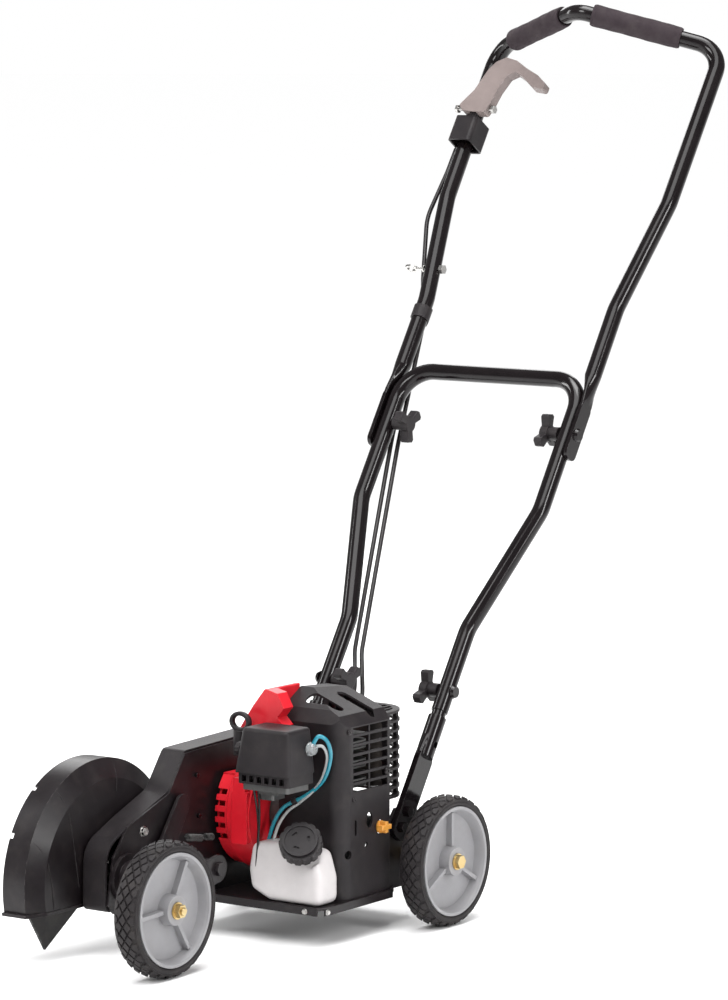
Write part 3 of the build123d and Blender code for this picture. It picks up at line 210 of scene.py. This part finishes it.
# Each CAD node takes its record's finish, except the fasteners painted with the frame.
FINISH = {part["node"]: part["material_slot"] for part in frame["record"]["subparts"]}
FINISH.update(cover_screws="black_gloss", handle_bolts="black_gloss", base_tube_bolts="black_gloss",
              arm_pivot_bolt="black_paint")
for name, obj in NODES.items():
    if obj.type == "MESH":
        obj.data.materials.clear()
        obj.data.materials.append(M[FINISH[name]])


# ---- mesh helpers --------------------------------------------------------------------------------
def mm(*values):
    return Vector(values) / 1000


def to_object(name, bm, mat, body, smooth=40):
    """A finished piece that rides a body, with faces smoothed up to an angle in degrees."""
    bmesh.ops.recalc_face_normals(bm, faces=bm.faces)
    mesh = bpy.data.meshes.new(name)
    bm.to_mesh(mesh)
    bm.free()
    obj = bpy.data.objects.new(name, mesh)
    bpy.context.scene.collection.objects.link(obj)
    mesh.materials.append(M[mat])
    for poly in mesh.polygons:
        poly.use_smooth = True
    mesh.set_sharp_from_angle(angle=math.radians(smooth))
    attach(obj, body)
    return obj


def axis_frame(origin, direction, roll=Vector((0, 0, 1))):
    """A matrix whose Z runs along direction from origin."""
    z = Vector(direction).normalized()
    if abs(z.dot(roll)) > 0.95:
        roll = Vector((1, 0, 0))
    x = roll.cross(z).normalized()
    y = z.cross(x)
    matrix = Matrix((x, y, z)).transposed().to_4x4()
    matrix.translation = Vector(origin)
    return matrix


def round_point(radius, angle, height):
    return Vector((radius * math.cos(angle), radius * math.sin(angle), height))


def lathe(bm, profile, matrix, segments):
    """A closed profile of (radius, height) points turned about the matrix's Z."""
    rings = []
    for i in range(segments):
        angle = TURN * i / segments
        rings.append([bm.verts.new(matrix @ round_point(r, angle, h)) for r, h in profile])
    count = len(profile)
    for one, two in zip(rings, rings[1:] + rings[:1]):
        for j in range(count):
            k = (j + 1) % count
            bm.faces.new((one[j], two[j], two[k], one[k]))
    return rings


def pipe(bm, points, radius, sides):
    """A round rod along a list of points, closed at both ends."""
    points = [Vector(p) for p in points]
    last = len(points) - 1
    rings = []
    normal = None
    for i, p in enumerate(points):
        ahead = points[min(i + 1, last)] - points[max(i - 1, 0)]
        ahead.normalize()
        if normal is None:
            normal = ahead.orthogonal().normalized()
        normal = (normal - ahead * normal.dot(ahead)).normalized()
        side = ahead.cross(normal)
        ring = []
        for k in range(sides):
            angle = TURN * k / sides
            ring.append(bm.verts.new(p + radius * (math.cos(angle) * normal + math.sin(angle) * side)))
        rings.append(ring)
    for one, two in zip(rings, rings[1:]):
        for k in range(sides):
            bm.faces.new((one[k], one[(k + 1) % sides], two[(k + 1) % sides], two[k]))
    bm.faces.new(list(reversed(rings[0])))
    bm.faces.new(rings[-1])


def loose_parts(obj):
    """The separate solids of a node's mesh, each as a sorted array of its corner positions."""
    bm = bmesh.new()
    bm.from_mesh(obj.data)
    bmesh.ops.remove_doubles(bm, verts=bm.verts, dist=1e-6)
    left = set(bm.verts)
    parts = []
    while left:
        stack = [left.pop()]
        found = list(stack)
        while stack:
            for e in stack.pop().link_edges:
                for v in e.verts:
                    if v in left:
                        left.remove(v)
                        stack.append(v)
                        found.append(v)
        parts.append(np.array(sorted(v.co[:] for v in found)))
    bm.free()
    return sorted(parts, key=lambda points: tuple(points[0]))


def long_axis(points):
    """The middle line of a long round piece: its two end points and its radius."""
    middle = (points.min(axis=0) + points.max(axis=0)) / 2
    _, _, rows = np.linalg.svd(points - points.mean(axis=0), full_matrices=False)
    d = rows[0] * np.sign(rows[0][np.abs(rows[0]).argmax()])
    t = (points - middle) @ d
    off = points - middle - np.outer(t, d)
    radius = float(np.linalg.norm(off, axis=1).max())
    return Vector(middle + d * t.min()), Vector(middle + d * t.max()), radius


# ---- tyres: a smooth casing with diamond blocks across the tread and lugs on both shoulders ------------
TREAD_HEIGHT = 0.0026
RIM_RADIUS = 0.0697
BLOCKS_ROUND = 30
BLOCK_STEP = TURN / BLOCKS_ROUND
ROW_PITCH = 0.0062
BLOCK_TAPER = 0.86


def tyre_profile(half, casing):
    """One side of the casing's section, from the bead at the rim out to the tread."""
    return [
        (RIM_RADIUS, half - 0.002), (RIM_RADIUS + 0.002, half - 0.0004), (RIM_RADIUS + 0.0045, half),
        (RIM_RADIUS + 0.0062, half - 0.0008), (RIM_RADIUS + 0.0085, half - 0.0003),
        (casing - 0.0022, half - 0.0022), (casing - 0.0004, half - 0.0055), (casing, half - 0.009),
    ]


def tread_block(bm, matrix, outline, outer, shoulder_start, depth):
    """A raised tread block over an outline of (angle, height) corners."""
    mid_a = sum(a for a, _ in outline) / len(outline)
    mid_h = sum(h for _, h in outline) / len(outline)
    top = []
    foot = []
    for a, h in outline:
        r_top = outer - max(0.0, abs(h) - shoulder_start) * 0.42
        top_a = mid_a + (a - mid_a) * BLOCK_TAPER
        top_h = mid_h + (h - mid_h) * BLOCK_TAPER
        top.append(bm.verts.new(matrix @ round_point(r_top, top_a, top_h)))
        foot.append(bm.verts.new(matrix @ round_point(r_top - depth, a, h)))
    bm.faces.new(top)
    for i in range(len(outline)):
        j = (i + 1) % len(outline)
        bm.faces.new((foot[i], foot[j], top[j], top[i]))


def make_tyre(node, body):
    low, high = (Vector(c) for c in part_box(node))
    outer = (high.z - low.z) / 2
    half = (high.x - low.x) / 2
    matrix = axis_frame((low + high) / 2, (1, 0, 0))
    bm = bmesh.new()
    profile = tyre_profile(half, outer - TREAD_HEIGHT)
    lathe(bm, profile + [(r, -h) for r, h in reversed(profile)], matrix, 120)

    shoulder_start = half - 0.0075
    long_half = BLOCK_STEP * 0.44
    for row in (-1, 0, 1):
        for i in range(BLOCKS_ROUND):
            a = (i + 0.5 * (row % 2)) * BLOCK_STEP
            h = row * ROW_PITCH
            diamond = [(a - long_half, h), (a, h - 0.0052), (a + long_half, h), (a, h + 0.0052)]
            tread_block(bm, matrix, diamond, outer, shoulder_start, 0.0036)
    for side in (-1, 1):
        inner = side * 0.0078
        edge = side * (half - 0.0016)
        for i in range(BLOCKS_ROUND):
            corners = ((-0.1, inner), (0.1, inner), (0.36, edge * 0.8), (0.3, edge), (-0.3, edge),
                       (-0.36, edge * 0.8))
            lug = [((i + turn) * BLOCK_STEP, h) for turn, h in corners]
            tread_block(bm, matrix, lug, outer, shoulder_start, 0.0052)
    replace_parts(to_object(node + "_tread", bm, "tyre", body, 35), node)


make_tyre("front_tyre", "front_wheel")
make_tyre("rear_left_tyre", "rear_left_wheel")
make_tyre("rear_right_tyre", "rear_right_wheel")


# ---- foam grips ----------------------------------------------------------------------------------
GRIP_BORE = 0.01114
GRIP_ROWS = 60
GRIP_END_ROUND = 0.004


def make_grip(node):
    """A foam sleeve with a slightly uneven skin and soft ends."""
    start, end, radius = long_axis(loose_parts(NODES[node])[0])
    length = (end - start).length
    outer = []
    for i in range(GRIP_ROWS + 1):
        t = i / GRIP_ROWS
        near_end = max(0.0, 1 - min(t, 1 - t) * length / GRIP_END_ROUND)
        uneven = 0.00022 * math.sin(9 * t + 1.3) + 0.00016 * math.sin(31 * t)
        outer.append((radius - 0.0006 - 0.0012 * near_end ** 2 + uneven, t * length))
    bm = bmesh.new()
    lathe(bm, outer + [(GRIP_BORE, length - 0.0004), (GRIP_BORE, 0.0004)], axis_frame(start, end - start), 64)
    obj = to_object(node + "_foam", bm, "foam", "upper_frame", 60)
    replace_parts(obj, node)


make_grip("grip_left")
make_grip("grip_right")


# ---- springs -------------------------------------------------------------------------------------
SPRING_WIRE = 0.0007
SPRING_PITCH = 0.0030
STEPS_PER_COIL = 16

bm = bmesh.new()
for part in loose_parts(NODES["depth_springs"]):
    start, end, radius = long_axis(part)
    matrix = axis_frame(start, end - start)
    length = (end - start).length
    coils = max(5, int(length / SPRING_PITCH))
    steps = coils * STEPS_PER_COIL
    path = []
    for i in range(steps + 1):
        height = SPRING_WIRE + i / steps * (length - 2 * SPRING_WIRE)
        path.append(matrix @ round_point(radius - SPRING_WIRE, TURN * i / STEPS_PER_COIL, height))
    pipe(bm, path, SPRING_WIRE, 8)
springs = to_object("wound_springs", bm, "aluminium", "chassis", 60)
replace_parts(springs, "depth_springs")


# ---- fuel lines: the feed is blue and the return is clear ----------------------------------------------
def smooth_path(points, steps=10):
    """A smooth line that passes through every point."""
    points = [points[0]] + points + [points[-1]]
    path = []
    for a, b, c, d in zip(points, points[1:], points[2:], points[3:]):
        for i in range(steps):
            t = i / steps
            path.append(0.5 * (2 * b + (c - a) * t + (2 * a - 5 * b + 4 * c - d) * t ** 2
                               + (3 * b - 3 * c + d - a) * t ** 3))
    path.append(points[-1])
    return path


FEED = smooth_path([
    mm(79, -202, 252), mm(86, -199, 263), mm(92.5, -190, 256), mm(90.5, -180, 236), mm(79, -173.5, 211),
    mm(63, -169.5, 193.5), mm(39, -168.4, 177.5), mm(13, -171, 163.5), mm(3, -178, 146), mm(-2, -184, 122),
])
RETURN = smooth_path([
    mm(80, -199, 250), mm(86, -190, 249), mm(85, -180, 233), mm(73.5, -173.5, 208), mm(58, -169.5, 189.5),
    mm(37, -168.4, 172.5), mm(18, -171, 158), mm(9, -178, 141), mm(6, -184, 124),
])
for name, route, radius, sides, finish in (
    ("blue_feed_line", FEED, 0.0025, 20, "blue_tube"),
    ("clear_return_line", RETURN, 0.0019, 18, "clear_tube"),
):
    bm = bmesh.new()
    pipe(bm, route, radius, sides)
    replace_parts(to_object(name, bm, finish, "chassis", 60), "fuel_lines")


# ---- fuel tank: blow-moulded, so every edge is a soft round --------------------------------------------
bm = bmesh.new()
bm.from_mesh(NODES["fuel_tank"].data)
bmesh.ops.remove_doubles(bm, verts=bm.verts, dist=1e-6)
tank = to_object("moulded_fuel_tank", bm, "white_tank", "chassis", 60)
skin = tank.modifiers.new("skin", "REMESH")
skin.mode = "VOXEL"
skin.voxel_size = 0.0016
ease = tank.modifiers.new("ease", "SMOOTH")
ease.factor = 0.5
ease.iterations = 16
soft_shape = bpy.data.meshes.new_from_object(tank.evaluated_get(bpy.context.evaluated_depsgraph_get()))
tank.modifiers.clear()
tank.data = soft_shape
for poly in soft_shape.polygons:
    poly.use_smooth = True
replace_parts(tank, "fuel_tank")


# ---- small fittings --------------------------------------------------------------------------------
SHROUD_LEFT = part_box("engine_shroud")[1][0] * 1000
SHROUD_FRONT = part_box("engine_shroud")[0][1] * 1000
LEFTWARD = (1, 0, 0)
FORWARD = (0, -1, 0)
AXIS_GAP = 0.0004    # radius of a turned face's middle, too small to see


def bolt_head(bm, place, facing, radius, height):
    """A flanged hexagon head with a domed crown, standing on a face."""
    matrix = axis_frame(place, facing)
    flange = radius * 1.18
    lathe(bm, [(AXIS_GAP, 0.0), (flange, 0.0), (flange, height * 0.14), (radius * 0.9, height * 0.24),
               (AXIS_GAP, height * 0.24)], matrix, 32)
    lathe(bm, [(AXIS_GAP, height * 0.2), (radius, height * 0.2), (radius, height * 0.82),
               (radius * 0.84, height), (AXIS_GAP, height)], matrix, 6)


def pan_head(bm, place, facing, radius, height):
    """A round screw head with a rounded rim and a sunk middle."""
    profile = [(0.0003, 0.0), (radius, 0.0), (radius, height * 0.45), (radius * 0.86, height * 0.82),
               (radius * 0.6, height), (radius * 0.34, height), (radius * 0.30, height * 0.5),
               (0.0003, height * 0.5)]
    lathe(bm, profile, axis_frame(place, facing), 28)


# Bolt through the belt cover's left face, and two at the corner of the deck.
bm = bmesh.new()
bolt_head(bm, mm(-80.05, -338, 148), LEFTWARD, 0.0056, 0.0052)
bolt_head(bm, mm(76, -214.95, 45.5), FORWARD, 0.0032, 0.0028)
bolt_head(bm, mm(101.95, -203, 45.5), LEFTWARD, 0.0032, 0.0028)
to_object("plate_fasteners", bm, "bright_steel", "chassis", 30)

bm = bmesh.new()
pan_head(bm, mm(SHROUD_LEFT - 0.1, -69, 202.5), LEFTWARD, 0.0052, 0.003)
pan_head(bm, mm(SHROUD_LEFT - 0.1, -150, 262), LEFTWARD, 0.0034, 0.002)
pan_head(bm, mm(SHROUD_LEFT - 0.1, -140, 176), LEFTWARD, 0.0034, 0.002)
pan_head(bm, mm(40, SHROUD_FRONT + 0.1, 250), FORWARD, 0.0034, 0.002)
to_object("shroud_screws", bm, "black_paint", "chassis", 30)

# Raised creases of the guard's pressing, each from its rim over the slope and down its face.
CREASE_RIM_X = -134.4
CREASE_SLOPE_X = -128.0
CREASE_FACE_X = -121.8
bm = bmesh.new()
for rim, slope, face in (
    ((-486.4, 153.6), (-478.5, 142.0), ((-470.0, 122.0), (-463.5, 92.0), (-460.5, 66.0))),
    ((-440.2, 208.0), (-436.0, 198.0), ((-430.0, 178.0), (-420.0, 132.0), (-412.0, 86.0))),
    ((-328.7, 232.6), (-333.5, 221.0), ((-336.5, 209.0), (-338.5, 194.0))),
):
    route = [mm(CREASE_RIM_X, *rim), mm(CREASE_SLOPE_X, *slope)]
    route += [mm(CREASE_FACE_X, *point) for point in face]
    pipe(bm, route, 0.00075, 8)
to_object("guard_creases", bm, "black_paint", "chassis", 50)

# Clip that holds the feed line to the shroud.
CLIP_POINT = 64
bm = bmesh.new()
lathe(bm, [(0.0026, -0.0035), (0.0044, -0.0035), (0.0047, -0.003), (0.0047, 0.003), (0.0044, 0.0035),
           (0.0026, 0.0035)],
      axis_frame(FEED[CLIP_POINT], FEED[CLIP_POINT + 2] - FEED[CLIP_POINT - 2]), 24)
to_object("feed_line_clip", bm, "black_plastic", "chassis", 40)

# Baffle between the cylinder and the muffler, under the roof slots, with ribs on its front face.
BAFFLE_FRONT = -72
BAFFLE_BACK = -70
BAFFLE_FOOT = 268
RIB_COUNT = 7
RIB_PITCH = 11
RIB_FRONT = -76
ROOF_SLOPE = 0.39

bm = bmesh.new()
outline = [(3, BAFFLE_FOOT), (3, 301), (20, 301), (84, 276), (90, BAFFLE_FOOT)]
near = [bm.verts.new(mm(x, BAFFLE_FRONT, z)) for x, z in outline]
far = [bm.verts.new(mm(x, BAFFLE_BACK, z)) for x, z in outline]
bm.faces.new(near)
bm.faces.new(list(reversed(far)))
for i in range(len(outline)):
    j = (i + 1) % len(outline)
    bm.faces.new((near[j], near[i], far[i], far[j]))
for i in range(RIB_COUNT):
    x = 12 + RIB_PITCH * i
    top = 298.5 - max(0, x - 20) * ROOF_SLOPE
    section = ((-1, BAFFLE_FRONT), (1, BAFFLE_FRONT), (0.6, RIB_FRONT), (-0.6, RIB_FRONT))
    foot = [bm.verts.new(mm(x + dx, y, BAFFLE_FOOT + 0.5)) for dx, y in section]
    head = [bm.verts.new(mm(x + dx, y, top)) for dx, y in section]
    bm.faces.new(foot)
    bm.faces.new(list(reversed(head)))
    for k in range(4):
        n = (k + 1) % 4
        bm.faces.new((foot[k], head[k], head[n], foot[n]))
to_object("air_baffle", bm, "black_plastic", "chassis", 30)

# Choke knob at the air cleaner's right side, with grip hollows round its edge.
GRIP_HOLLOW = 0.93
bm = bmesh.new()
matrix = axis_frame(mm(-5.2, -232, 243), (-1, 0, 0))
rings = lathe(bm, [(AXIS_GAP, 0.0), (0.0095, 0.0), (0.0095, 0.006), (0.0088, 0.0072), (0.0055, 0.0078),
                   (AXIS_GAP, 0.0078)], matrix, 40)
for i, ring in enumerate(rings):
    if i % 4 < 2:
        for v in ring[1:4]:
            local = matrix.inverted() @ v.co
            local.x *= GRIP_HOLLOW
            local.y *= GRIP_HOLLOW
            v.co = matrix @ local
to_object("choke_knob", bm, "black_plastic", "chassis", 35)

# Two low-tension leads that sway from the carburettor down to the deck.
LEAD_TOP = 196
LEAD_DROP = 112
LEAD_STEPS = 24
bm = bmesh.new()
for shift in (0.0, 4.2):
    points = []
    for i in range(LEAD_STEPS + 1):
        t = i / LEAD_STEPS
        sway_x = 5 * math.sin(3.1 * t)
        sway_y = 3 * math.cos(4 * t + shift)
        points.append(mm(-4 - shift + sway_x, -207 + sway_y, LEAD_TOP - LEAD_DROP * t))
    pipe(bm, points, 0.0015, 10)
to_object("ignition_leads", bm, "cable", "chassis", 60)

# Adjuster barrel in the lever bracket's mouth, along the handle and a little off its middle line.
HANDLE_LEAN = math.radians(56.8)
HANDLE_FOOT_Y = -33
HANDLE_FOOT_Z = 129
BARREL_ALONG = 996
BARREL_OFF = 18
up_handle = Vector((0, math.cos(HANDLE_LEAN), math.sin(HANDLE_LEAN)))
mouth = mm(-164, HANDLE_FOOT_Y + BARREL_ALONG * up_handle.y - BARREL_OFF * up_handle.z,
           HANDLE_FOOT_Z + BARREL_ALONG * up_handle.z + BARREL_OFF * up_handle.y)
bm = bmesh.new()
lathe(bm, [(AXIS_GAP, 0.0), (0.0034, 0.0), (0.004, 0.0008), (0.004, 0.004), (0.0028, 0.0046),
           (0.0028, 0.011), (AXIS_GAP, 0.011)], axis_frame(mouth, up_handle), 6)
to_object("cable_adjuster", bm, "zinc", "upper_frame", 30)


# ---- stage ---------------------------------------------------------------------------------------
FLOOR_HALF = 60.0
FLOOR_Z = -0.0003
PALE = (0.96, 0.96, 0.96, 1)

bm = bmesh.new()
corners = ((-1, -1), (1, -1), (1, 1), (-1, 1))
bm.faces.new([bm.verts.new((x * FLOOR_HALF, y * FLOOR_HALF, FLOOR_Z)) for x, y in corners])
mesh = bpy.data.meshes.new("floor")
bm.to_mesh(mesh)
bm.free()
floor = bpy.data.objects.new("floor", mesh)
bpy.context.scene.collection.objects.link(floor)
floor_mat = bpy.data.materials.new("pale floor")
floor_mat.use_nodes = True
floor_bsdf = floor_mat.node_tree.nodes["Principled BSDF"]
floor_bsdf.inputs["Base Color"].default_value = PALE
floor_bsdf.inputs["Roughness"].default_value = 0.9
mesh.materials.append(floor_mat)

# A white surround: full strength as a background, much weaker as a light.
world = bpy.data.worlds.new("studio")
bpy.context.scene.world = world
world.use_nodes = True
tree = world.node_tree
background = tree.nodes["Background"]
background.inputs["Color"].default_value = (1, 1, 1, 1)
seen = tree.nodes.new("ShaderNodeLightPath")
strength = mapped(tree, seen.outputs["Is Camera Ray"], to_low=0.30, to_high=1.0)
tree.links.new(strength, background.inputs["Strength"])


# ---- lights --------------------------------------------------------------------------------------
AIM = (0.0, 0.0, 0.45)


def place_light(name, data, place):
    obj = bpy.data.objects.new(name, data)
    bpy.context.scene.collection.objects.link(obj)
    obj.matrix_world = axis_frame(place, Vector(place) - Vector(AIM))
    return obj


def area_light(name, place, power, width, height):
    data = bpy.data.lights.new(name, "AREA")
    data.shape = "RECTANGLE"
    data.size = width
    data.size_y = height
    data.energy = power
    place_light(name, data, place)


area_light("key", (-0.2, -3.0, 2.6), 48, 1.0, 1.4)
area_light("left", (3.0, -0.4, 1.6), 55, 0.5, 2.0)
area_light("right", (-2.8, -1.2, 1.4), 40, 0.5, 2.0)
area_light("top", (0.2, 0.4, 3.4), 55, 1.6, 1.4)
area_light("behind", (-1.9, 2.7, 2.3), 55, 2.8, 2.0)
overhead = bpy.data.lights.new("overhead", "SUN")
overhead.energy = 2.6
overhead.angle = math.radians(50)
place_light("overhead", overhead, (0.5, -1.0, 4.0))


# ---- camera --------------------------------------------------------------------------------------
AZIMUTH = math.radians(35.27)
RISE = math.radians(6.53)
CAMERA_PLACE = Vector((3.2892, -4.6316, 1.1818))

back = Vector((math.sin(AZIMUTH) * math.cos(RISE), -math.cos(AZIMUTH) * math.cos(RISE), math.sin(RISE)))
right = Vector((math.cos(AZIMUTH), math.sin(AZIMUTH), 0))
up = back.cross(right)
camera_data = bpy.data.cameras.new("camera")
camera_data.sensor_fit = "VERTICAL"
camera_data.sensor_height = 36.0
camera_data.lens = 162.07
camera_data.clip_end = 60
camera = bpy.data.objects.new("camera", camera_data)
bpy.context.scene.collection.objects.link(camera)
place = Matrix((right, up, back)).transposed().to_4x4()
place.translation = CAMERA_PLACE
camera.matrix_world = place
bpy.context.scene.camera = camera
bpy.context.scene.view_settings.view_transform = "Standard"
